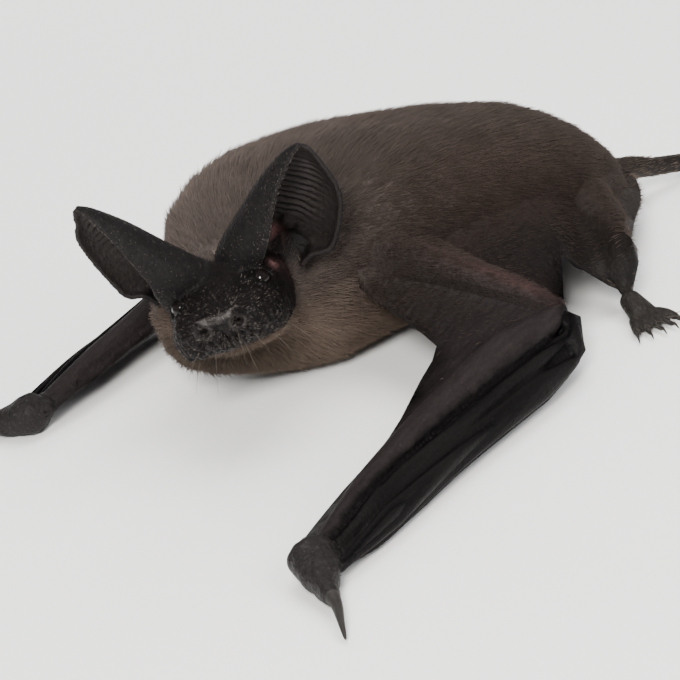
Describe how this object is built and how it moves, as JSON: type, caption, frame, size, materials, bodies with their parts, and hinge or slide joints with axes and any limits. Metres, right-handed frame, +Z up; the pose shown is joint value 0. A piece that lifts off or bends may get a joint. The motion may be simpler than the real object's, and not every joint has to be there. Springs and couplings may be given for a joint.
{
  "type": "bat",
  "caption": "Life-size wild free-tailed bat crouching on folded wings and feet, with large ears, dark velvety fur and a free tail.",
  "frame": {"origin": "middle of the bounding box on the floor, at the level of the wrists' and feet's soles", "axes": "-Y is the way the bat's body points, +X is its left side, +Z is up"},
  "size_m": [0.1208, 0.168, 0.0421],
  "materials": {
    "fur": "soft short coat",
    "skin": "satin bare skin",
    "eye": "wet gloss",
    "claw": "satin horn"
  },
  "bodies": {
    "root": {"abdomen": "fur", "chest": "fur", "ear_left": "skin", "ear_right": "skin", "eye_left": "eye", "eye_right": "eye", "finger_fifth_left": "skin", "finger_fifth_right": "skin", "finger_fourth_left": "skin", "finger_fourth_right": "skin", "finger_third_left": "skin", "finger_third_right": "skin", "foot_left": "skin", "foot_right": "skin", "forearm_left": "skin", "forearm_right": "skin", "hand_left": "skin", "hand_right": "skin", "head": "fur", "leading_web_left": "skin", "leading_web_right": "skin", "neck": "fur", "shin_left": "skin", "shin_right": "skin", "tail": "skin", "tail_web_left": "skin", "tail_web_right": "skin", "thigh_left": "fur", "thigh_right": "fur", "thumb_claw_left": "claw", "thumb_claw_right": "claw", "trailing_web_left": "skin", "trailing_web_right": "skin", "upper_arm_left": "skin", "upper_arm_right": "skin"}
  },
  "joints": []
}
